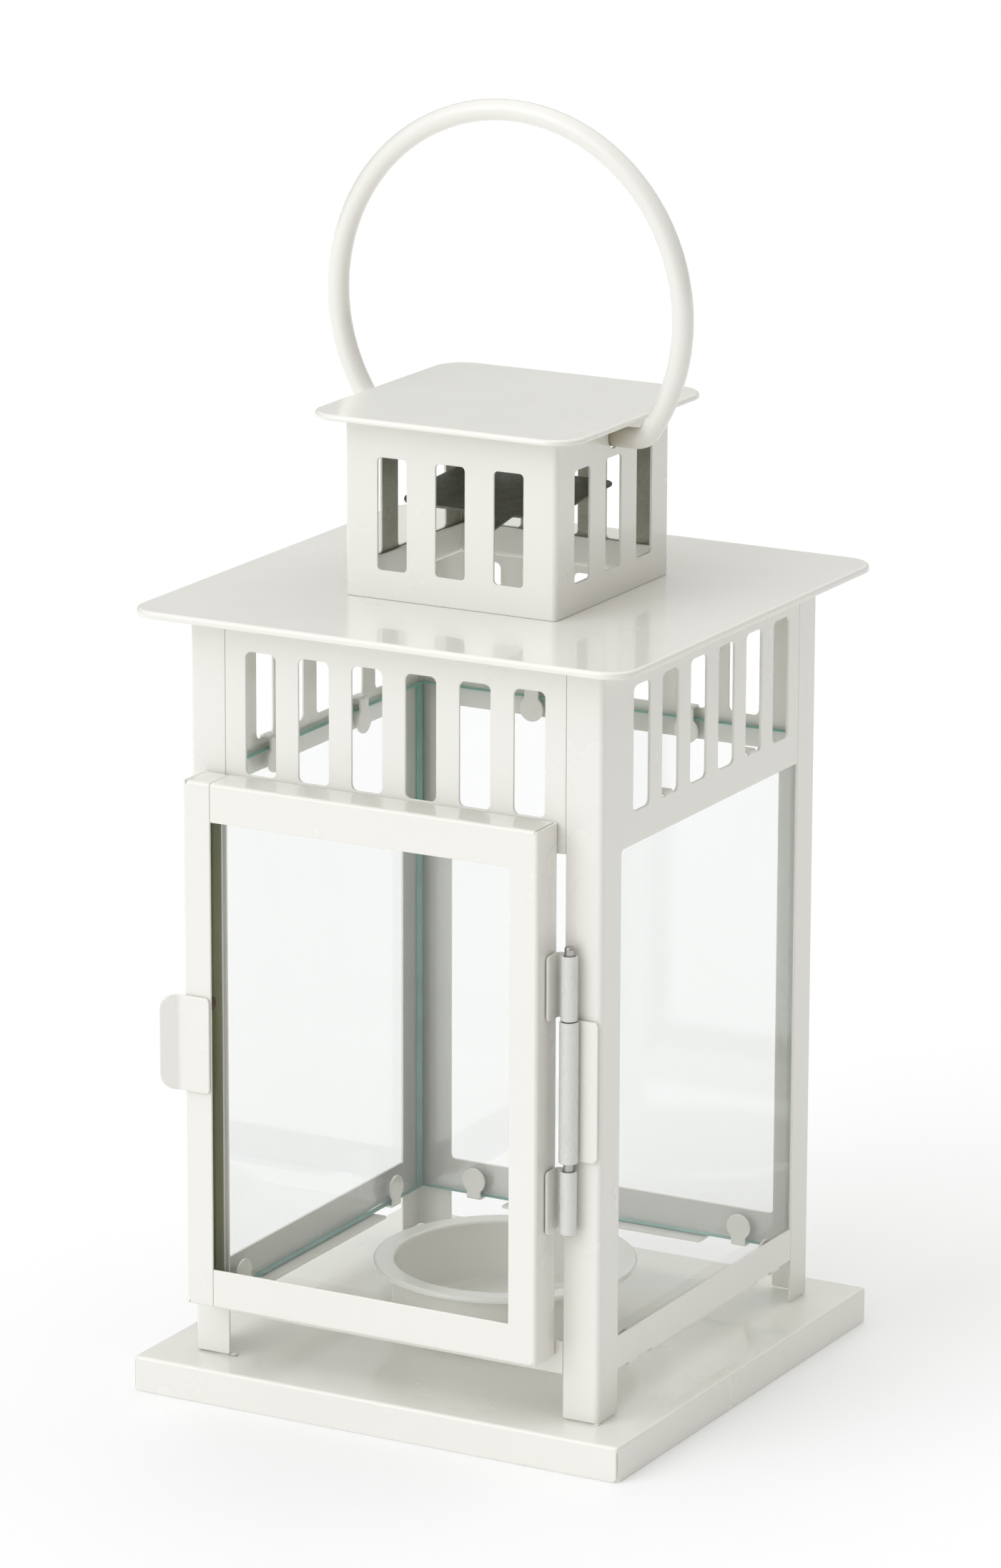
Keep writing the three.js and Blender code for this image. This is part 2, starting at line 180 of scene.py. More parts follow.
def hook_tongue(x, root, way, reach):
    """A neck with a round head, from left to right along the edge y = root that it grows out of."""
    half_neck = HOOK_NECK / 2
    shoulder = math.asin(half_neck / HOOK_HEAD)
    start = -QUARTER * way - shoulder * way
    head = arc_points((x, root + way * reach), HOOK_HEAD, start, -way * (2 * math.pi - 2 * shoulder))
    return [(x - half_neck, root), *head, (x + half_neck, root)]


# ---- Folding ----


class Fold:
    """The section of a folded sheet, as the line that its outer face follows.

    Each run is a straight length, a turn in degrees and the radius of that turn. The thickness of the sheet
    lies to the left of the line where inner is 1, and to its right where inner is -1.
    """

    def __init__(self, start, heading, runs, inner=1):
        self.inner = inner
        self.stretches = []
        self.length = 0.0
        point, heading = Vector(start), math.radians(heading)
        for straight, turn, radius in runs:
            self.add(point, heading, straight, 0.0)
            point = self.line_at(self.length)[0]
            if turn:
                bend = abs(math.radians(turn)) * radius
                self.add(point, heading, bend, math.radians(turn) / bend)
                point, heading = self.line_at(self.length)

    def add(self, point, heading, length, curvature):
        self.stretches.append((self.length, length, point, heading, curvature))
        self.length += length

    def line_at(self, along):
        begun = [s for s in self.stretches if s[0] <= along + 1e-9]
        start, _, point, heading, curvature = begun[-1] if begun else self.stretches[0]
        run = along - start
        if not curvature:
            return point + Vector((math.cos(heading), math.sin(heading))) * run, heading
        centre = point + Vector((-math.sin(heading), math.cos(heading))) / curvature
        heading += curvature * run
        return centre - Vector((-math.sin(heading), math.cos(heading))) / curvature, heading

    def place(self, along, depth):
        """The point of the section that far along its outer face and that deep under it."""
        point, heading = self.line_at(along)
        return point + Vector((-math.sin(heading), math.cos(heading))) * (self.inner * depth)

    def creases(self, step=math.radians(15)):
        """How far along the mesh has to be cut so that it can bend."""
        cuts = []
        for start, length, _, _, curvature in self.stretches:
            if curvature:
                count = max(2, math.ceil(abs(curvature) * length / step - 1e-6))
                first = 1 if cuts and start - cuts[-1] < 1e-6 else 0
                cuts += [start + length * i / count for i in range(first, count + 1)]
        return cuts


class Flap:
    """A part of a flat sheet, inside a box of it, that folds across the line y = root."""

    def __init__(self, x0, x1, root, way, runs):
        self.x0, self.x1, self.root, self.way = x0, x1, root, way
        self.fold = Fold((0, 0), 90, runs)

    def holds(self, x, y):
        return self.x0 <= x <= self.x1 and 0 <= (y - self.root) * self.way <= self.fold.length + 1

    def place(self, y, depth):
        """How far behind the sheet's outer face the point comes to lie, and at which height."""
        out, rise = self.fold.place((y - self.root) * self.way, depth)
        return -out, self.root + self.way * rise


def hook_flap(x, root, way, head_z):
    """The flap of a tongue that crosses an edge of the glass and lies on its inner face."""
    drop = abs(head_z - root)
    runs = [(0, 90, TIGHT_BEND), (HOOK_DEPTH - 2 * TIGHT_BEND, 90, TIGHT_BEND), (drop + HOOK_HEAD, 0, 0)]
    return Flap(x - HOOK_HEAD - 0.1, x + HOOK_HEAD + 0.1, root, way, runs)


def hook_reach(root, head_z):
    """How far the centre of a tongue's head is from its root on the flat sheet."""
    return 2 * QUARTER * TIGHT_BEND + HOOK_DEPTH - 2 * TIGHT_BEND + abs(head_z - root)


def inside(x, y, outline):
    """Whether a point lies inside an outline."""
    crossings = 0
    for (x0, y0), (x1, y1) in zip(outline, outline[1:] + outline[:1]):
        if (y0 > y) != (y1 > y) and x < x0 + (x1 - x0) * (y - y0) / (y1 - y0):
            crossings += 1
    return crossings % 2 == 1


def fill(bm, loops):
    """Fills the flat area inside the first loop of vertices and outside the others."""
    verts = [v for loop in loops for v in loop]
    edges = []
    first = 0
    for loop in loops:
        edges += [(first + i, first + (i + 1) % len(loop)) for i in range(len(loop))]
        first += len(loop)
    flat = [v.co.xy for v in verts]
    outlines = [[tuple(v.co.xy) for v in loop] for loop in loops]
    _, _, triangles, origins, _, _ = delaunay_2d_cdt(flat, edges, [], 1, 1e-7)
    for triangle in triangles:
        corners = [verts[origins[i][0]] for i in triangle]
        middle = sum((v.co for v in corners), Vector()) / 3
        if not any(inside(middle.x, middle.y, hole) for hole in outlines[1:]):
            bm.faces.new(corners)


def plate(outer, holes=(), thick=SHEET, ease=EASE, face_material=None):
    """A flat sheet: z is 0 on its outer face and thick on its inner one, and its cut edges are rounded.

    face_material gives the material indices of the outer face, the inner face and the cut edges."""
    bm = bmesh.new()
    loops = [wound(outer, 1)] + [wound(hole, -1) for hole in holes]
    soft = 0.3 * ease
    rings = [(ease, 0), (soft, soft), (0, ease), (0, thick - ease), (soft, thick - soft), (ease, thick)]
    lower, upper = [], []
    for loop in loops:
        rows = [[bm.verts.new((*p, z)) for p in inset(loop, back)] for back, z in rings]
        for below, above in zip(rows, rows[1:]):
            for i in range(len(loop)):
                bm.faces.new((below[i - 1], below[i], above[i], above[i - 1]))
        lower.append(rows[0])
        upper.append(rows[-1])
    fill(bm, lower)
    fill(bm, upper)
    if face_material:
        for face in bm.faces:
            depths = [v.co.z for v in face.verts]
            kind = 0 if max(depths) < 1e-6 else 1 if min(depths) > thick - 1e-6 else 2
            face.material_index = face_material[kind]
    return bm


def crease(bm, axis, positions, x_range=(-math.inf, math.inf)):
    """Cuts the faces that reach into a range of x along lines across an axis."""
    for position in positions:
        chosen = []
        for face in bm.faces:
            across = [v.co.x for v in face.verts]
            if max(across) >= x_range[0] and min(across) <= x_range[1]:
                chosen.append(face)
        edges = {e for f in chosen for e in f.edges}
        verts = {v for f in chosen for v in f.verts}
        bmesh.ops.bisect_plane(
            bm, geom=[*verts, *edges, *chosen], dist=1e-5, plane_co=axis * position, plane_no=axis
        )


def folded(bm, fold, flaps=(), arrange=lambda a, b, v: (a, b, v)):
    """Bends a flat plate along x into a section, after its flaps. arrange turns the two coordinates of
    the section and the height on the plate into X, Y and Z."""
    crease(bm, Vector((1, 0, 0)), fold.creases())
    for flap in flaps:
        cuts = [flap.root + flap.way * along for along in flap.fold.creases()]
        crease(bm, Vector((0, 1, 0)), cuts, (flap.x0, flap.x1))
    for vert in bm.verts:
        along, height, depth = vert.co
        flap = next((f for f in flaps if f.holds(along, height)), None)
        if flap:
            depth, height = flap.place(height, depth)
        vert.co = arrange(*fold.place(along, depth), height)
    return bm


# ---- Swept solids ----


def strip_section(fold, thick=SHEET, ease=EASE):
    """The closed section of a sheet that follows a fold, as (along, depth) pairs."""
    end = fold.length
    soft = 0.3 * ease
    tip = [(end - ease, 0), (end - soft, soft), (end, ease)]
    tip += [(end, thick - ease), (end - soft, thick - soft), (end - ease, thick)]
    root = [(end - along, depth) for along, depth in reversed(tip)]
    middle = [along for along in fold.creases() if ease < along < end - ease]
    return [(along, 0) for along in middle] + tip + [(along, thick) for along in reversed(middle)] + root


def square_ring(bm, half, corner, z, steps):
    """A ring of vertices round a square with rounded corners."""
    ring = []
    for i, (way_x, way_y) in enumerate([(1, 1), (-1, 1), (-1, -1), (1, -1)]):
        centre = (way_x * (half - corner), way_y * (half - corner))
        points = arc_points(centre, corner, i * QUARTER, QUARTER, QUARTER / steps)
        arcs_meet = half - corner < 1e-6
        ring += [bm.verts.new((x, y, z)) for x, y in (points[:-1] if arcs_meet else points)]
    return ring


def bridge(bm, rings, closed):
    pairs = zip(rings, rings[1:] + rings[:1]) if closed else zip(rings, rings[1:])
    for below, above in pairs:
        for i in range(len(below)):
            bm.faces.new((below[i - 1], below[i], above[i], above[i - 1]))


def swept_square(fold, corner_at, steps=10, filled=False):
    """A sheet whose section turns round a square. The section is drawn in half width and height. Where
    filled, the square is closed in the middle, with no edge at the fold's start."""
    bm = bmesh.new()
    section = strip_section(fold)
    if filled:
        outward = [pair for pair in section if pair[0] > 2 * EASE]
        section = [(0, 0)] + outward + [(0, SHEET)]
    rings = []
    for along, depth in section:
        half, z = fold.place(along, depth)
        rings.append(square_ring(bm, half, corner_at(half), z, steps))
    bridge(bm, rings, closed=not filled)
    if filled:
        bm.faces.new(rings[0])
        bm.faces.new(rings[-1])
    return bm


def swept_rod(fold, radius, sides=24, step=math.radians(4)):
    """A round rod along a line in the XZ plane, with softened ends."""
    bm = bmesh.new()
    tip = [(0, 0.72), (0.12, 0.9), (0.35, 0.985), (0.7, 1)]
    stations = [(along * radius, scale) for along, scale in tip]
    ends = [(fold.length - along, scale) for along, scale in reversed(stations)]
    middle = [(along, 1) for along in fold.creases(step) if radius < along < fold.length - radius]
    rings = []
    for along, scale in stations + middle + ends:
        centre = fold.place(along, 0)
        across = fold.place(along, 1) - centre
        ring = []
        for i in range(sides):
            angle = 2 * math.pi * i / sides
            side = across * (math.cos(angle) * radius * scale)
            y = math.sin(angle) * radius * scale
            ring.append(bm.verts.new((centre.x + side.x, y, centre.y + side.y)))
        rings.append(ring)
    bridge(bm, rings, closed=False)
    bm.faces.new(rings[0])
    bm.faces.new(rings[-1])
    return bm


# ---- Pieces ----


def piece(name, bm, materials, body, replaced, mirror=False):
    """Makes an object in metres from a mesh in millimetres, and ties it to the frame."""
    scale = Matrix.Diagonal((-MM if mirror else MM, MM, MM, 1))
    bmesh.ops.transform(bm, matrix=scale, verts=bm.verts)
    bmesh.ops.recalc_face_normals(bm, faces=bm.faces)
    mesh = bpy.data.meshes.new(name)
    bm.to_mesh(mesh)
    bm.free()
    mesh.shade_smooth()
    mesh.set_sharp_from_angle(angle=math.radians(50))
    for material in materials:
        mesh.materials.append(material)
    made = bpy.data.objects.new(name, mesh)
    bpy.context.scene.collection.objects.link(made)
    shading = made.modifiers.new("even_shading", "WEIGHTED_NORMAL")
    shading.keep_sharp = True
    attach(made, body)
    if replaced:
        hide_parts(*replaced)
    return made


def weld_bead(name, place, size, material, body):
    """A small lumpy drop of weld, flattened to its half sizes."""
    bm = bmesh.new()
    bmesh.ops.create_icosphere(bm, subdivisions=3, radius=1)
    for vert in bm.verts:
        lump = 1 + 0.25 * noise.noise(vert.co * 2 + Vector(place))
        vert.co = Vector(place) + Vector(part * half * lump for part, half in zip(vert.co, size))
    piece(name, bm, [material], body, [])


# ---- Materials ----


class Nodes:
    """A node tree under construction."""

    def __init__(self, name):
        self.material = bpy.data.materials.new(name)
        self.material.use_nodes = True
        self.tree = self.material.node_tree
        self.tree.nodes.clear()
        self.output = self.add("ShaderNodeOutputMaterial")
        self.place = self.add("ShaderNodeTexCoord").outputs["Object"]

    def add(self, kind, **settings):
        node = self.tree.nodes.new(kind)
        for key, value in settings.items():
            if hasattr(node, key):
                setattr(node, key, value)
            else:
                node.inputs[key.replace("_", " ").title()].default_value = value
        return node

    def link(self, source, target):
        self.tree.links.new(source, target)

    def noise(self, scale, detail=3.0, stretch=None):
        """Noise whose scale is in features per metre."""
        node = self.add("ShaderNodeTexNoise", Scale=scale, Detail=detail)
        place = self.place
        if stretch:
            mapping = self.add("ShaderNodeMapping")
            mapping.inputs["Scale"].default_value = stretch
            self.link(place, mapping.inputs["Vector"])
            place = mapping.outputs["Vector"]
        self.link(place, node.inputs["Vector"])
        return node.outputs["Fac"]

    def ranged(self, value, low, high, start=0.3, end=0.7):
        node = self.add("ShaderNodeMapRange")
        settings = {"From Min": start, "From Max": end, "To Min": low, "To Max": high}
        for key, number in settings.items():
            node.inputs[key].default_value = number
        self.link(value, node.inputs["Value"])
        return node.outputs["Result"]

    def fade(self, axis, start, end):
        """1 where the size of a coordinate is below start, 0 where it is above end."""
        parts = self.add("ShaderNodeSeparateXYZ")
        self.link(self.place, parts.inputs["Vector"])
        size = self.add("ShaderNodeMath", operation="ABSOLUTE")
        self.link(parts.outputs[axis], size.inputs[0])
        return self.ranged(size.outputs["Value"], 1, 0, start, end)

    def product(self, factors):
        total = factors[0]
        for factor in factors[1:]:
            node = self.add("ShaderNodeMath", operation="MULTIPLY")
            self.link(total, node.inputs[0])
            self.link(factor, node.inputs[1])
            total = node.outputs["Value"]
        return total

    def blend(self, factor, first, second):
        """A mix of two colours. Either may be a socket."""
        node = self.add("ShaderNodeMix", data_type="RGBA")
        self.link(factor, node.inputs["Factor"])
        for key, colour in (("A", first), ("B", second)):
            socket = next(s for s in node.inputs if s.name == key and s.type == "RGBA")
            if isinstance(colour, bpy.types.NodeSocket):
                self.link(colour, socket)
            else:
                socket.default_value = (*colour, 1)
        return next(s for s in node.outputs if s.type == "RGBA")

    def bump(self, height, distance, strength=1.0, under=None):
        node = self.add("ShaderNodeBump")
        node.inputs["Strength"].default_value = strength
        node.inputs["Distance"].default_value = distance
        self.link(height, node.inputs["Height"])
        if under:
            self.link(under, node.inputs["Normal"])
        return node.outputs["Normal"]

    def principled(self, **settings):
        node = self.add("ShaderNodeBsdfPrincipled")
        for key, value in settings.items():
            node.inputs[key.replace("_", " ")].default_value = value
        self.link(node.outputs["BSDF"], self.output.inputs["Surface"])
        return node


def white_paint(name, light, shade, gloss=(0.2, 0.3), scuffs=0.0, painted_shade=()):
    """Glossy powder coat with a faint orange peel, slow waves and small changes of tone. The last argument
    gives where shade is painted into the colour, darker and olive, as the fades of coordinates."""
    nodes = Nodes(name)
    shader = nodes.principled(Coat_Weight=0.6, Coat_Roughness=0.03, Coat_IOR=1.5)
    colour = nodes.blend(nodes.ranged(nodes.noise(14, 2), 0, 1, 0.2, 0.8), shade, light)
    roughness = nodes.ranged(nodes.noise(40, 3), *gloss, 0.2, 0.8)
    if scuffs:
        marks = nodes.ranged(nodes.noise(420, 8, (1, 1, 0.35)), 0, scuffs, 0.56, 0.68)
        colour = nodes.blend(marks, colour, (0.42, 0.42, 0.4))
        roughness = nodes.ranged(nodes.noise(420, 8, (1, 1, 0.35)), gloss[0], 0.55, 0.5, 0.68)
    # Painted shade: the colour turns darker and olive inside the given coordinate ranges.
    if painted_shade:
        shade_mask = nodes.product([nodes.fade(*edge) for edge in painted_shade])
        colour = nodes.blend(shade_mask, colour, (0.4, 0.37, 0.27))
    nodes.link(colour, shader.inputs["Base Color"])
    nodes.link(roughness, shader.inputs["Roughness"])
    waves = nodes.bump(nodes.noise(12, 1), 0.0004, 0.1)
    peel = nodes.bump(nodes.noise(700, 2), 0.00001, 0.3, waves)
    nodes.link(peel, shader.inputs["Normal"])
    nodes.link(waves, shader.inputs["Coat Normal"])
    return nodes.material


def galvanised(name, dark, light, metallic=0.75):
    """Unpainted zinc-coated sheet: a crystalline spangle with a fine grain."""
    nodes = Nodes(name)
    shader = nodes.principled(Metallic=metallic)
    spangle = nodes.add("ShaderNodeTexVoronoi", Scale=330.0)
    nodes.link(nodes.place, spangle.inputs["Vector"])
    crystals = nodes.ranged(spangle.outputs["Color"], 0.25, 0.75, 0, 1)
    grain = nodes.noise(1500, 4)
    colour = nodes.blend(crystals, dark, light)
    colour = nodes.blend(nodes.ranged(grain, 0, 0.35), colour, tuple(0.6 * part for part in dark))
    nodes.link(colour, shader.inputs["Base Color"])
    nodes.link(nodes.ranged(grain, 0.38, 0.6), shader.inputs["Roughness"])
    nodes.link(nodes.bump(grain, 0.00005, 0.4), shader.inputs["Normal"])
    return nodes.material


def drawn_steel(name):
    """Bare wire with fine draw marks along it."""
    nodes = Nodes(name)
    shader = nodes.principled(Metallic=1.0)
    marks = nodes.noise(2600, 4, (1, 1, 0.03))
    colour = nodes.blend(nodes.ranged(marks, 0, 1), (0.36, 0.35, 0.33), (0.6, 0.59, 0.57))
    nodes.link(colour, shader.inputs["Base Color"])
    nodes.link(nodes.ranged(marks, 0.25, 0.45), shader.inputs["Roughness"])
    nodes.link(nodes.bump(marks, 0.00002, 0.5), shader.inputs["Normal"])
    return nodes.material


def clear_glass(name, tint, haze):
    """A polished face of a pane: it lets light straight through and mirrors by its angle."""
    nodes = Nodes(name)
    through = nodes.add("ShaderNodeBsdfTransparent")
    nodes.link(nodes.blend(nodes.ranged(nodes.noise(9, 2), 0, 1), tint, haze), through.inputs["Color"])
    mirror = nodes.add("ShaderNodeBsdfGlossy", Roughness=0.015)
    mirror.inputs["Color"].default_value = (1, 1, 1, 1)
    nodes.link(nodes.bump(nodes.noise(7, 1), 0.0004, 0.2), mirror.inputs["Normal"])
    facing = nodes.add("ShaderNodeLayerWeight", Blend=0.5).outputs["Facing"]
    steep = nodes.add("ShaderNodeMath", operation="POWER")
    nodes.link(facing, steep.inputs[0])
    steep.inputs[1].default_value = 5
    mixed = nodes.add("ShaderNodeMixShader")
    nodes.link(nodes.ranged(steep.outputs["Value"], 0.04, 1, 0, 1), mixed.inputs["Fac"])
    nodes.link(through.outputs["BSDF"], mixed.inputs[1])
    nodes.link(mirror.outputs["BSDF"], mixed.inputs[2])
    nodes.link(mixed.outputs["Shader"], nodes.output.inputs["Surface"])
    return nodes.material


def cut_glass(name):
    """The ground edge of a pane, which looks green because it is seen through the glass's whole width."""
    nodes = Nodes(name)
    shader = nodes.principled(Roughness=0.28)
    tone = nodes.ranged(nodes.noise(55, 4), 0, 1)
    nodes.link(nodes.blend(tone, (0.2, 0.44, 0.38), (0.32, 0.6, 0.53)), shader.inputs["Base Color"])
    nodes.link(nodes.bump(nodes.noise(1300, 3), 0.00004, 0.4), shader.inputs["Normal"])
    return nodes.material


PAINT_LIGHT, PAINT_SHADE = (0.845, 0.83, 0.77), (0.825, 0.81, 0.75)

paint = white_paint("white_enamel", PAINT_LIGHT, PAINT_SHADE)
# The handle's ends get painted shade where the cap and the chimney shade them.
handle_paint = white_paint("white_enamel_handle", PAINT_LIGHT, PAINT_SHADE, painted_shade=HANDLE_PAINTED_SHADE)
worn_paint = white_paint("white_enamel_scuffed", (0.73, 0.73, 0.69), (0.69, 0.69, 0.65), (0.25, 0.4), 0.12)
# Inner faces of the door's channels: a thin olive coat, made darker still with painted shade of the
# channel's hollow.
shaded_thin_paint = white_paint("white_enamel_thin_shaded", (0.42, 0.43, 0.22), (0.28, 0.29, 0.13), (0.4, 0.5))
zinc = galvanised("galvanised_wall", (0.36, 0.365, 0.29), (0.5, 0.5, 0.41), 0.35)
dark_zinc = galvanised("galvanised_plate", (0.19, 0.195, 0.17), (0.36, 0.365, 0.33), 0.6)
weld = galvanised("burnt_weld", (0.05, 0.024, 0.006), (0.13, 0.06, 0.02), 0.1)
steel = drawn_steel("bare_pin_steel")
pane_face = clear_glass("pane_face", (0.976, 0.98, 0.976), (0.97, 0.975, 0.97))
pane_edge = cut_glass("pane_edge")


# ---- Base and cup ----


def tray_groove(way_x, way_y):
    """The cutter for the groove where two skirts of the tray meet, at one of its corners. The groove has a
    round top and flares out at the lower edge of the tray."""
    half, flare = 0.3, 1.1
    top, mouth, below = TRAY_HIGH.z - 1.5, -0.02, -1.0
    outline = rounded(
        [
            (-half, flare, 0.9),
            (-half, top, half * 0.95),
            (half, top, half * 0.95),
            (half, flare, 0.9),
            (half + flare, mouth, 0),
            (half + flare, below, 0),
            (-half - flare, below, 0),
            (-half - flare, mouth, 0),
        ]
    )
    bm = plate(outline, thick=2.0, ease=0.01)
    diagonal = Vector((way_x, way_y, 0)).normalized()
    across = Vector((-diagonal.y, diagonal.x, 0))
    corner = Vector((way_x * TRAY_HIGH.x, way_y * TRAY_HIGH.x, 0)) + diagonal
    for vert in bm.verts:
        x, z, depth = vert.co
        vert.co = corner + across * x - diagonal * depth + Vector((0, 0, z))
    return bm


def cut_away(target, cutters):
    """Subtracts meshes in millimetres from an object and keeps the result."""
    joined = bmesh.new()
    for bm in cutters:
        mesh = bpy.data.meshes.new("cutter")
        bmesh.ops.recalc_face_normals(bm, faces=bm.faces)
        bm.to_mesh(mesh)
        bm.free()
        joined.from_mesh(mesh)
        bpy.data.meshes.remove(mesh)
    bmesh.ops.scale(joined, vec=(MM, MM, MM), verts=joined.verts)
    mesh = bpy.data.meshes.new("cutters")
    joined.to_mesh(mesh)
    joined.free()
    tool = bpy.data.objects.new("cutters", mesh)
    bpy.context.scene.collection.objects.link(tool)
    cut = target.modifiers.new("cut", "BOOLEAN")
    cut.operation = "DIFFERENCE"
    cut.solver = "EXACT"
    cut.object = tool
    target.modifiers.move(len(target.modifiers) - 1, 0)
    shading = target.modifiers["even_shading"]
    shading.show_viewport = False
    graph = bpy.context.evaluated_depsgraph_get()
    result = bpy.data.meshes.new_from_object(target.evaluated_get(graph))
    target.modifiers.remove(cut)
    shading.show_viewport = True
    target.data = result
    bpy.data.objects.remove(tool)


def build_tray():
    half = TRAY_HIGH.x
    top_run, least_corner = 19, 0.15
    skirt = TRAY_HIGH.z - TRAY_LOW.z - TIGHT_BEND
    runs = [(top_run, -90, TIGHT_BEND), (skirt, 0, 0)]
    fold = Fold((half - TIGHT_BEND - top_run, TRAY_HIGH.z), 0, runs, inner=-1)

    def corner_at(at):
        return max(at - half + TIGHT_BEND, 0) + least_corner

    bm = swept_square(fold, corner_at, steps=6, filled=True)
    tray = piece("tray_sheet", bm, [paint], "lantern_body", ["base_tray"])
    corners = [(-1, -1), (1, -1), (1, 1), (-1, 1)]
    cut_away(tray, [tray_groove(*ways) for ways in corners])


def build_cup():
    """A spun cup: flat floor, straight wall and a wide rim that rolls down at its edge."""
    rim, foot_bend, roll, lip = 5.5, 2, 1.1, 0.5
    wall = CUP_HIGH.x - rim - SHEET
    start = 8
    runs = [
        (wall - foot_bend - start, 90, foot_bend),
        (CUP_HIGH.z - CUP_LOW.z - SHEET - foot_bend - roll, -90, roll),
        (CUP_HIGH.x - wall - 2 * roll, -90, roll),
        (lip, 0, 0),
    ]
    fold = Fold((start, CUP_LOW.z + SHEET), 0, runs, inner=-1)
    bm = swept_square(fold, lambda at: at, steps=24, filled=True)
    piece("candle_holder", bm, [paint], "lantern_body", ["candle_cup"])


# ---- Body ----

POST_SPAN = POST_WIDTH - BEND + QUARTER * BEND + POST_WIDTH - BEND
FLANGE_RUN = (POST_WIDTH - BEND, 90, BEND)


def slot_hole(centre, hooked):
    """A vertical slot of a panel. A hooked one has a tongue in it that is folded over the glass."""
    left, right = centre - SLOT_WIDTH / 2, centre + SLOT_WIDTH / 2
    corners = [(left, SLOT_BOTTOM, SLOT_CORNER)]
    if hooked:
        reach = hook_reach(SLOT_BOTTOM, TOP_HOOK_Z)
        corners += [(x, y, 0) for x, y in hook_tongue(centre, SLOT_BOTTOM, 1, reach)]
    corners.append((right, SLOT_BOTTOM, SLOT_CORNER))
    corners += [(right, SLOT_TOP, SLOT_CORNER), (left, SLOT_TOP, SLOT_CORNER)]
    return rounded(corners)


def slot_centres(middle):
    return [middle + (i - (SLOT_COUNT - 1) / 2) * SLOT_PITCH for i in range(SLOT_COUNT)]


def rail_edge(middle):
    """The lower edge of a rail, from left to right, with its two tongues and its lip."""
    lip_length = QUARTER * TIGHT_BEND + LIP_REACH - TIGHT_BEND
    reach = hook_reach(LIP_ROOT, BOTTOM_HOOK_Z) + RAIL_LOW.z - LIP_ROOT
    left, right = middle - LIP_HALF, middle + LIP_HALF
    edge = [(x, y, 0) for x, y in hook_tongue(middle - BOTTOM_HOOK_X, RAIL_LOW.z, -1, reach)]
    edge += [(left, RAIL_LOW.z, 0), (left, LIP_ROOT - lip_length, 0.8)]
    edge += [(right, LIP_ROOT - lip_length, 0.8), (right, RAIL_LOW.z, 0)]
    edge += [(x, y, 0) for x, y in hook_tongue(middle + BOTTOM_HOOK_X, RAIL_LOW.z, -1, reach)]
    return edge


def side_flaps(middle):
    """The folds of one glazed side: its four tongues and its lip."""
    lip_runs = [(0, 90, TIGHT_BEND), (LIP_REACH - TIGHT_BEND, 0, 0)]
    lip_half = LIP_HALF + 0.1
    flaps = [Flap(middle - lip_half, middle + lip_half, LIP_ROOT, -1, lip_runs)]
    for x in (middle - BOTTOM_HOOK_X, middle + BOTTOM_HOOK_X):
        flaps.append(hook_flap(x, LIP_ROOT, -1, BOTTOM_HOOK_Z))
    centres = slot_centres(middle)
    for i in TOP_HOOK_SLOTS:
        flaps.append(hook_flap(centres[i], SLOT_BOTTOM, 1, TOP_HOOK_Z))
    return flaps


def side_slots(middle):
    return [slot_hole(x, i in TOP_HOOK_SLOTS) for i, x in enumerate(slot_centres(middle))]


def side_sheet():
    """The right side with its front post: one sheet, wrapped round the front corner, open at the back."""
    bottom, top = POST_LOW.z + FOOT_GAP, POST_HIGH.z
    end = POST_SPAN + 2 * WINDOW_HALF - SEAM
    middle = POST_SPAN + WINDOW_HALF
    outline = rounded(
        [
            (0, bottom, 0.6),
            (POST_SPAN, bottom, 0.6),
            (POST_SPAN, RAIL_LOW.z, 0.8),
            *rail_edge(middle),
            (end, RAIL_LOW.z, 0.5),
            (end, RAIL_HIGH.z, 0.5),
            (POST_SPAN, RAIL_HIGH.z, 1.2),
            (POST_SPAN, PANEL_LOW.z, 1.2),
            (end, PANEL_LOW.z, 0.5),
            (end, top, 0.5),
            (0, top, 0.5),
        ]
    )
    side_run = (end - POST_SPAN + POST_WIDTH - BEND, 0, 0)
    fold = Fold((WINDOW_HALF, -BODY_HALF), 0, [FLANGE_RUN, side_run])
    return folded(plate(outline, side_slots(middle)), fold, side_flaps(middle))


def back_sheet():
    """The back with both of its posts: one sheet, folded round both back corners."""
    bottom, top = POST_LOW.z + FOOT_GAP, POST_HIGH.z
    end = 2 * POST_SPAN + 2 * WINDOW_HALF
    middle = end / 2
    outline = rounded(
        [
            (0, bottom, 0.6),
            (POST_SPAN, bottom, 0.6),
            (POST_SPAN, RAIL_LOW.z, 0.8),
            *rail_edge(middle),
            (end - POST_SPAN, RAIL_LOW.z, 0.8),
            (end - POST_SPAN, bottom, 0.6),
            (end, bottom, 0.6),
            (end, top, 0.5),
            (0, top, 0.5),
        ]
    )
    window = rectangle(POST_SPAN, end - POST_SPAN, RAIL_HIGH.z, PANEL_LOW.z, 1.2)
    across = (2 * (BODY_HALF - BEND), 90, BEND)
    fold = Fold((BODY_HALF, WINDOW_HALF), 90, [FLANGE_RUN, across, (POST_WIDTH - BEND, 0, 0)])
    return folded(plate(outline, [window, *side_slots(middle)]), fold, side_flaps(middle))


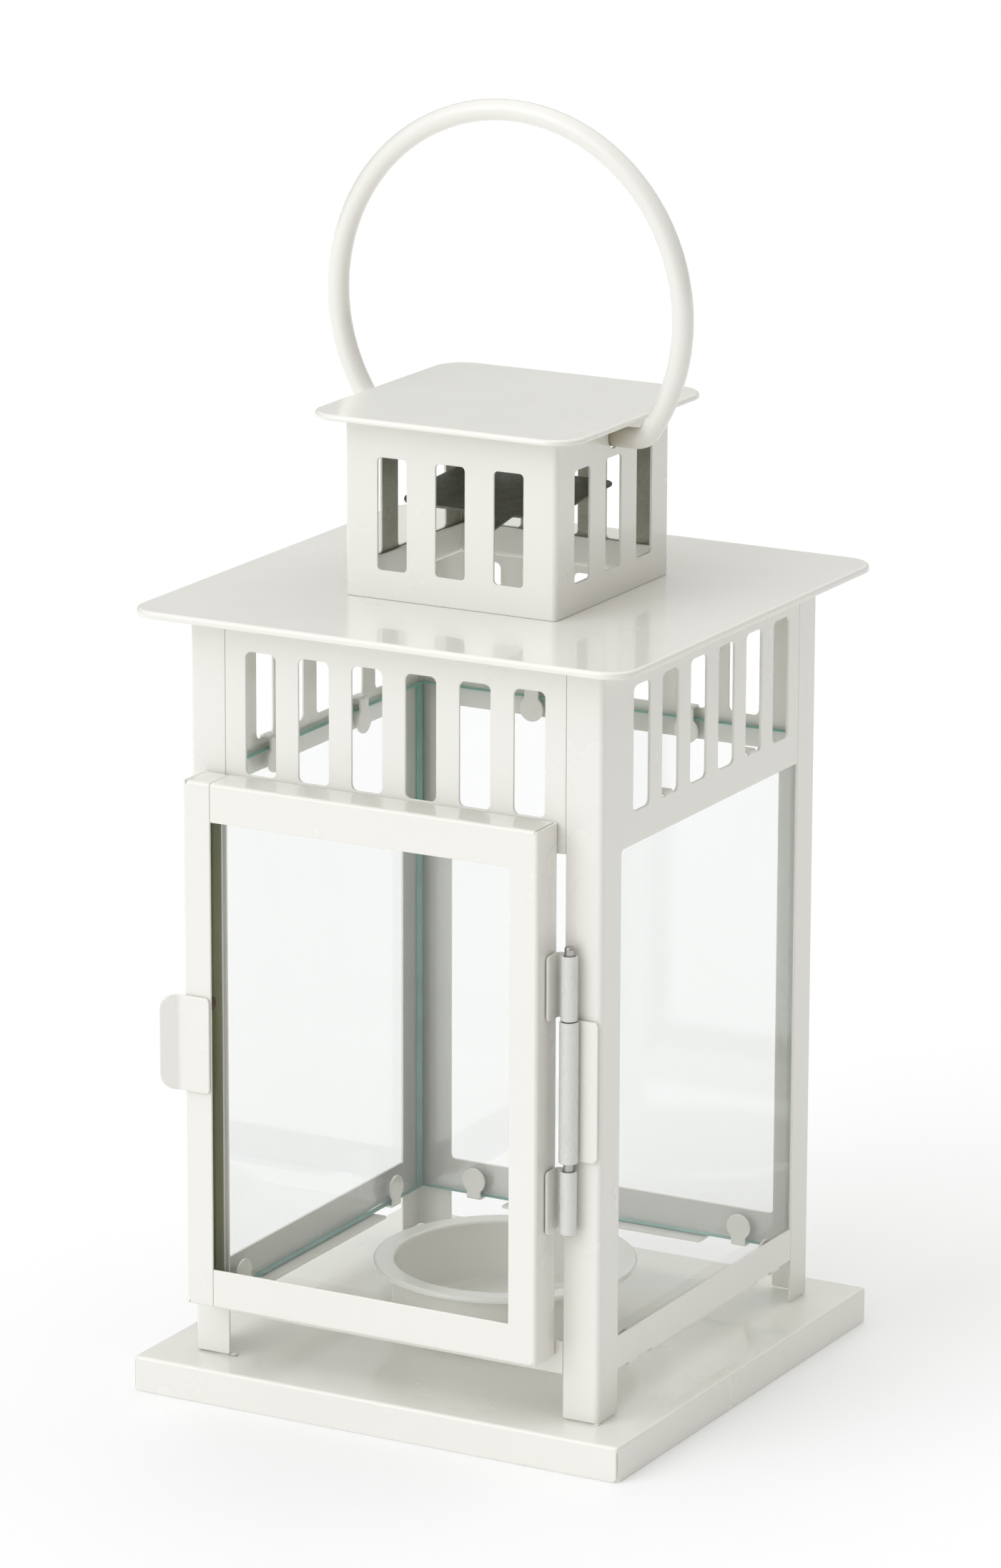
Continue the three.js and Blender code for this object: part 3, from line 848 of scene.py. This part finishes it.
def build_body():
    for side, mirror in (("right", False), ("left", True)):
        nodes = [f"front_{side}_post", f"{side}_panel", f"{side}_rail"]
        piece(f"{side}_side_sheet", side_sheet(), [paint], "lantern_body", nodes, mirror)
    nodes = ["back_left_post", "back_right_post", "back_panel", "back_rail"]
    piece("back_sheet", back_sheet(), [paint], "lantern_body", nodes)
    width = 2 * (WINDOW_HALF - SEAM)
    front = Fold((-width / 2, PANEL_LOW.y), 0, [(width, 0, 0)])
    slots = [slot_hole(x, False) for x in slot_centres(width / 2)]
    panel = plate(rectangle(0, width, PANEL_LOW.z, PANEL_HIGH.z, 0.4), slots)
    piece("front_panel_sheet", folded(panel, front), [paint], "lantern_body", ["front_panel"])
    rail = plate(rectangle(0, width, RAIL_LOW.z, RAIL_HIGH.z, 0.4))
    piece("front_rail_sheet", folded(rail, front), [paint], "lantern_body", ["front_rail"])


def build_welds():
    """Each bead has a place, its half sizes and a material."""
    foot = TRAY_HIGH.z + FOOT_GAP
    beads = {
        "weld_front_right": ((BODY_HALF - 1.0, -BODY_HALF + 1.0, foot), (0.9, 0.9, 0.45), paint),
        "weld_front_left": ((-WINDOW_HALF + 0.6, -BODY_HALF + 1.3, foot + 0.2), (1.5, 0.9, 0.5), worn_paint),
        "weld_back_left": ((-WINDOW_HALF + 0.2, BODY_HALF - 1.3, foot + 0.2), (1.0, 0.8, 0.6), worn_paint),
    }
    for name, (place, size, material) in beads.items():
        weld_bead(name, place, size, material, "lantern_body")
    behind_pull = (STILE_LOW.x + DOOR_FACE - 0.4, STILE_LOW.y + 1.9, PULL_HIGH.z - 2.0)
    weld_bead("weld_pull", behind_pull, (1.0, 1.1, 2.0), weld, "door")


# ---- Glass ----


def pane(name, node, body, across):
    """A pane in the place of its CAD node. across is 0 where it faces along Y, and 1 where along X."""
    low, high = cad(node)
    width = high[across] - low[across]
    thick = high[1 - across] - low[1 - across]
    outline = rectangle(0, width, low.z, high.z, 0.6)
    bm = plate(outline, thick=thick, ease=0.3, face_material=(0, 0, 1))
    fold = Fold((low.x, low.y), 90 * across, [(width, 0, 0)], inner=1 - 2 * across)
    piece(name, folded(bm, fold), [pane_face, pane_edge], body, [node])


def build_glass():
    pane("right_pane", "right_glass", "lantern_body", 1)
    pane("back_pane", "back_glass", "lantern_body", 0)
    pane("left_pane", "left_glass", "lantern_body", 1)
    pane("door_pane", "door_glass", "door", 0)


# ---- Roof, chimney, cap and baffle ----


def build_roof():
    half = ROOF_HIGH.x
    drop = PLATE_TOP - ROOF_LOW.z
    collar_corner = 3
    runs = [
        (ROOF_HIGH.z - PLATE_TOP - TIGHT_BEND, 90, TIGHT_BEND),
        (half - COLLAR_HALF - 2 * TIGHT_BEND, -90, TIGHT_BEND),
        (drop - TIGHT_BEND, 0, 0),
    ]
    fold = Fold((COLLAR_HALF, ROOF_HIGH.z), -90, runs, inner=-1)

    def corner_at(at):
        return max(min(at - COLLAR_HALF + BEND, collar_corner), at - half + ROOF_CORNER)

    piece("roof_sheet", swept_square(fold, corner_at), [paint], "lantern_body", ["roof"])


def build_chimney():
    """One strip with vents, folded into a square tube: painted outside and bare zinc inside."""
    half = CHIMNEY_HIGH.x
    side = 2 * (half - BEND)
    wall = side + QUARTER * BEND
    holes = []
    for i in range(4):
        middle = i * wall + side / 2
        for step in (-1, 0, 1):
            x = middle + step * VENT_PITCH
            holes.append(rectangle(x - VENT_WIDTH / 2, x + VENT_WIDTH / 2, VENT_BOTTOM, VENT_TOP, 1.2))
        if i in (0, 2):
            pivot_z = HANDLE_LOW.z + (HANDLE_HIGH.y - HANDLE_LOW.y) / 2
            holes.append(arc_points((middle, pivot_z), HANDLE_HOLE, 0, 2 * math.pi)[:-1])
    outline = rectangle(0, 4 * wall - 0.1, PLATE_TOP + 0.04, CHIMNEY_HIGH.z, 0.4)
    bm = plate(outline, holes, face_material=(0, 1, 0))
    fold = Fold((-half, half - BEND), -90, [(side, 90, BEND)] * 4)
    piece("chimney_walls", folded(bm, fold), [paint, zinc], "lantern_body", ["chimney"])


def build_cap():
    half = CAP_HIGH.x
    top_run = 19
    runs = [(top_run, -90, TIGHT_BEND), (CAP_HIGH.z - CAP_LOW.z - TIGHT_BEND, 0, 0)]
    fold = Fold((half - TIGHT_BEND - top_run, CAP_HIGH.z), 0, runs, inner=-1)
    bm = swept_square(fold, lambda at: max(at - half + CAP_CORNER, 1), filled=True)
    piece("cap_plate", bm, [paint], "lantern_body", ["cap"])


def build_baffle():
    """The plate under the cap that keeps the flame off it, crowned a little, on two tabs."""
    low, high = cad("heat_baffle")
    reach = high.y
    width, depth = 48.5, 41.0
    tab, tab_x, half_tab = 7.0, 9.15, 3.0
    gap = reach - depth / 2
    slope_in, slope_out = 10.0, -1.0  # degrees at the crown's two ends
    turn, spacing, off_centre = 4, 8, 4
    runs = [
        (tab, 90 + slope_in, TIGHT_BEND),
        (gap + off_centre, -turn, 90),
        (spacing, -turn, 110),
        (spacing, slope_out - slope_in + 2 * turn, 150),
        (gap - off_centre, 90 - slope_out, TIGHT_BEND),
        (tab, 0, 0),
    ]
    line = Fold((-reach, 0), -90, runs)
    start = tab + TIGHT_BEND * math.radians(90 + slope_in) + gap
    end = line.length - start + 2
    corners = [
        (start, -width / 2, 5),
        (end, -width / 2, 5),
        (end, -tab_x - half_tab, 0.5),
        (line.length, -tab_x - half_tab, 1),
        (line.length, -tab_x + half_tab, 1),
        (end, -tab_x + half_tab, 0.5),
        (end, width / 2, 5),
        (start, width / 2, 5),
        (start, tab_x + half_tab, 0.5),
        (0, tab_x + half_tab, 1),
        (0, tab_x - half_tab, 1),
        (start, tab_x - half_tab, 0.5),
    ]
    bm = folded(plate(rounded(corners)), line, arrange=lambda a, b, v: (v, a, b))
    bmesh.ops.translate(bm, vec=(0, 0, low.z + tab), verts=bm.verts)
    piece("baffle_plate", bm, [dark_zinc], "lantern_body", ["heat_baffle"])


# ---- Handle ----


def build_handle():
    """Straight ends in the chimney's holes, a bend at each and a ring between them."""
    tube = HANDLE_HIGH.y
    pivot_z = HANDLE_LOW.z + tube
    ring = HANDLE_HIGH.x - tube
    ring_z = HANDLE_HIGH.z - HANDLE_HIGH.x
    bend, end_x = 5.0, 30.0  # radius of the two bends, and where the ends stop inside the chimney
    rise = ring_z - pivot_z - bend
    bend_x = math.sqrt((ring - bend) ** 2 - rise**2)
    ring_start = math.degrees(-math.atan2(rise, bend_x))
    straight = bend_x - end_x
    runs = [
        (straight, 90 + ring_start, bend),
        (0, 180 - 2 * ring_start, ring),
        (0, 90 + ring_start, bend),
        (straight, 0, 0),
    ]
    bm = swept_rod(Fold((end_x, pivot_z), 0, runs), tube)
    piece("ring_handle", bm, [handle_paint], "handle", ["handle"])


# ---- Door ----

DOOR_DEPTH = STILE_HIGH.y - STILE_LOW.y
END_RUNS = [(0, 90, TIGHT_BEND), (DOOR_DEPTH - 2 * TIGHT_BEND, 90, TIGHT_BEND)]


def door_ends(x0, x1, back_run):
    """The folds that close the top and the bottom of the door between two places on its front."""
    low, high = STILE_LOW.z + TIGHT_BEND, STILE_HIGH.z - TIGHT_BEND
    runs = [*END_RUNS, (back_run, 0, 0)]
    return [Flap(x0 - 0.05, x1 + 0.05, low, -1, runs), Flap(x0 - 0.05, x1 + 0.05, high, 1, runs)]


def left_stile():
    """A channel with closed ends, folded from the back round the outer side to the front."""
    back_run = DOOR_RETURN - TIGHT_BEND
    side_run = DOOR_DEPTH - 2 * TIGHT_BEND
    front_run = DOOR_FACE - TIGHT_BEND
    bend = QUARTER * TIGHT_BEND
    front = back_run + bend + side_run + bend
    end = front + front_run
    flaps = door_ends(front, end, 0)
    end_length = flaps[0].fold.length - 1.5
    low, high = STILE_LOW.z + DOOR_SLIT, STILE_HIGH.z - DOOR_SLIT
    side_edge, flap_edge = front - 0.1, front + DOOR_SLIT
    outline = rounded(
        [
            (0, low, 0.5),
            (side_edge, low, 0.3),
            (side_edge, flaps[0].root, 0),
            (flap_edge, flaps[0].root, 0),
            (flap_edge, flaps[0].root - end_length, 1),
            (end, flaps[0].root - end_length, 0.5),
            (end, flaps[1].root + end_length, 0.5),
            (flap_edge, flaps[1].root + end_length, 1),
            (flap_edge, flaps[1].root, 0),
            (side_edge, flaps[1].root, 0),
            (side_edge, high, 0.3),
            (0, high, 0.5),
        ]
    )
    start = (STILE_LOW.x + DOOR_RETURN, STILE_HIGH.y)
    runs = [(back_run, 90, TIGHT_BEND), (side_run, 90, TIGHT_BEND), (front_run, 0, 0)]
    return folded(plate(outline, face_material=(0, 1, 0)), Fold(start, 180, runs), flaps)


def door_frame():
    """The top, right and bottom of the door: one sheet whose edges fold back all round."""
    low, high = STILE_LOW.z, STILE_HIGH.z
    left = STILE_HIGH.x + SEAM
    front_run = FAR_STILE_HIGH.x - TIGHT_BEND - left
    window_end = FAR_STILE_HIGH.x - DOOR_FACE - left
    side_run = DOOR_DEPTH - 2 * TIGHT_BEND
    back_run = DOOR_RETURN - TIGHT_BEND
    bend = QUARTER * TIGHT_BEND
    end = front_run + bend + side_run + bend + back_run
    flaps = door_ends(0, front_run, back_run)
    length = flaps[0].fold.length
    shoulder = length - back_run
    mitred_edge, flap_edge, side_edge = front_run - 1.6, front_run - 0.05, front_run + 0.1

    def corner(root, way, edge):
        """One outer corner, from the end fold to the side fold."""
        return [
            (mitred_edge, root + way * length, 1),
            (mitred_edge, root + way * shoulder, 0),
            (flap_edge, root + way * (shoulder - bend), 0),
            (flap_edge, root, 0),
            (side_edge, root, 0),
            (side_edge, edge, 0.4),
        ]

    outline = rounded(
        [
            (0, low + DOOR_RAIL_FACE, 0.4),
            (0, flaps[0].root - length, 1),
            *corner(flaps[0].root, -1, low + DOOR_SLIT),
            (end, low + DOOR_SLIT, 0.5),
            (end, high - DOOR_SLIT, 0.5),
            *reversed(corner(flaps[1].root, 1, high - DOOR_SLIT)),
            (0, flaps[1].root + length, 1),
            (0, high - DOOR_RAIL_FACE, 0.4),
            (window_end, high - DOOR_RAIL_FACE, 0.6),
            (window_end, low + DOOR_RAIL_FACE, 0.6),
        ]
    )
    runs = [(front_run, 90, TIGHT_BEND), (side_run, 90, TIGHT_BEND), (back_run, 0, 0)]
    return folded(plate(outline, face_material=(0, 1, 0)), Fold((left, STILE_LOW.y), 0, runs), flaps)


def door_pull():
    """A small strip on the left stile. Its free end is bent forward, with large round corners."""
    seated, turn, radius, free = DOOR_FACE + 0.3, 31, 3.2, 4.9
    line = Fold((STILE_HIGH.x, PULL_HIGH.y), 180, [(seated, turn, radius), (free, 0, 0)])
    outline = rounded(
        [
            (0, PULL_LOW.z, 1.3),
            (line.length, PULL_LOW.z, 4.8),
            (line.length, PULL_HIGH.z, 4.2),
            (0, PULL_HIGH.z, 1.3),
        ]
    )
    return folded(plate(outline, ease=0.3), line)


def build_door():
    nodes = ["door_right_stile", "door_top_rail", "door_bottom_rail"]
    piece("door_frame_sheet", door_frame(), [paint, shaded_thin_paint], "door", nodes)
    piece("door_stile_sheet", left_stile(), [paint, shaded_thin_paint], "door", ["door_left_stile"])
    piece("door_tab", door_pull(), [paint], "door", ["door_pull"])


# ---- Hinge ----


def worn_knuckle(bm, pin_x, pin_y):
    """Gives the second material to the part of a leaf that is curled round the pin."""
    for face in bm.faces:
        if (face.calc_center_median().xy - Vector((pin_x, pin_y))).length < KNUCKLE_BODY:
            face.material_index = 1
    return bm


def body_leaf(node, pin_x, pin_y):
    """The leaf on the post: straight to the pin and curled round it."""
    low, high = cad(node)
    fold = Fold((high.x, pin_y + KNUCKLE_BODY), 180, [(high.x - pin_x, CURL, KNUCKLE_BODY)])
    end = fold.length
    outline = rounded([(0, low.z, 1.8), (end, low.z, 0.3), (end, high.z, 0.3), (0, high.z, 1.2)])
    return worn_knuckle(folded(plate(outline), fold), pin_x, pin_y)


def door_leaf(node, pin_x, pin_y):
    """A leaf on the side of the door: it turns off the door and curls round the pin."""
    low, high = cad(node)
    rise = pin_y + KNUCKLE_DOOR - BEND - low.y
    runs = [(rise, -90, BEND), (pin_x - low.x - BEND, -CURL, KNUCKLE_DOOR)]
    fold = Fold((low.x, low.y), 90, runs, inner=-1)
    end = fold.length
    outline = rounded([(0, low.z, 1.2), (end, low.z, 0.3), (end, high.z, 0.3), (0, high.z, 1.2)])
    return worn_knuckle(folded(plate(outline), fold), pin_x, pin_y)


def hinge_pin(pin_x, pin_y):
    length, radius = PIN_HIGH.z - PIN_LOW.z, (PIN_HIGH.x - PIN_LOW.x) / 2
    rod = swept_rod(Fold((PIN_LOW.z, 0), 0, [(length, 0, 0)]), radius)
    x_to_z = Matrix(((0, 0, 1, 0), (0, 1, 0, 0), (1, 0, 0, 0), (0, 0, 0, 1)))
    bmesh.ops.transform(rod, matrix=Matrix.Translation((pin_x, pin_y, 0)) @ x_to_z, verts=rod.verts)
    return rod


def build_hinge():
    pin = (PIN_LOW.x + PIN_HIGH.x) / 2, (PIN_LOW.y + PIN_HIGH.y) / 2
    finish = [paint, worn_paint]
    node = "hinge_body_leaf"
    piece("hinge_leaf_body", body_leaf(node, *pin), finish, "lantern_body", [node])
    for name, node in (
        ("hinge_leaf_top", "hinge_door_leaf_upper"),
        ("hinge_leaf_bottom", "hinge_door_leaf_lower"),
    ):
        piece(name, door_leaf(node, *pin), finish, "door", [node])
    piece("hinge_rod", hinge_pin(*pin), [steel], "lantern_body", ["hinge_pin"])


# ---- Studio ----


def build_floor():
    nodes = Nodes("pale_floor")
    shader = nodes.principled(Roughness=0.6)
    tone = nodes.ranged(nodes.noise(6, 3), 0, 1)
    nodes.link(nodes.blend(tone, (0.985, 0.985, 0.985), (0.975, 0.975, 0.975)), shader.inputs["Base Color"])
    bpy.ops.mesh.primitive_plane_add(size=40)
    floor = bpy.context.object
    floor.name = "studio_floor"
    floor.data.materials.append(nodes.material)


def build_world(lobes):
    """Studio light in broad soft glows. Each lobe is a direction, a sharpness and a colour."""
    world = bpy.data.worlds.new("studio")
    world.use_nodes = True
    tree = world.node_tree
    place = tree.nodes.new("ShaderNodeTexCoord").outputs["Generated"]
    total = None
    for direction, sharpness, colour in lobes:
        facing = tree.nodes.new("ShaderNodeVectorMath")
        facing.operation = "DOT_PRODUCT"
        facing.inputs[1].default_value = Vector(direction).normalized()
        tree.links.new(place, facing.inputs[0])
        lit = tree.nodes.new("ShaderNodeMath")
        lit.operation = "MAXIMUM"
        tree.links.new(facing.outputs["Value"], lit.inputs[0])
        lit.inputs[1].default_value = 0
        glow = tree.nodes.new("ShaderNodeMath")
        glow.operation = "POWER"
        tree.links.new(lit.outputs["Value"], glow.inputs[0])
        glow.inputs[1].default_value = sharpness
        added = tree.nodes.new("ShaderNodeVectorMath")
        added.operation = "MULTIPLY_ADD"
        tree.links.new(glow.outputs["Value"], added.inputs[0])
        added.inputs[1].default_value = colour
        if total:
            tree.links.new(total, added.inputs[2])
        total = added.outputs["Vector"]
    tree.links.new(total, tree.nodes["Background"].inputs["Color"])
    bpy.context.scene.world = world


def build_camera():
    place = Vector((0.9235, -1.6909, 0.6824))
    target = Vector((-0.0074, 0.0097, 0.1666))
    roll = math.radians(0.185)
    data = bpy.data.cameras.new("photo_view")
    data.sensor_width = 36
    data.lens = 162.66
    camera = bpy.data.objects.new("photo_view", data)
    turn = (target - place).to_track_quat("-Z", "Y").to_matrix() @ Matrix.Rotation(roll, 3, "Z")
    camera.matrix_world = Matrix.Translation(place) @ turn.to_4x4()
    bpy.context.scene.collection.objects.link(camera)
    bpy.context.scene.camera = camera


build_camera()
build_world(
    [
        ((0, 0, 1), 2, (1.4, 1.39, 1.36)),
        ((0, 1, 0.25), 2, (0.6, 0.61, 0.61)),
        ((-0.4, -0.9, 0.4), 8, (2.3, 2.35, 2.44)),
        ((-0.35, -0.6, 0.75), 8, (0.47, 0.47, 0.55)),
    ]
)
build_floor()
bpy.context.scene.view_settings.view_transform = "Standard"

build_tray()
build_cup()
build_body()
build_welds()
build_glass()
build_roof()
build_chimney()
build_cap()
build_baffle()
build_handle()
build_door()
build_hinge()
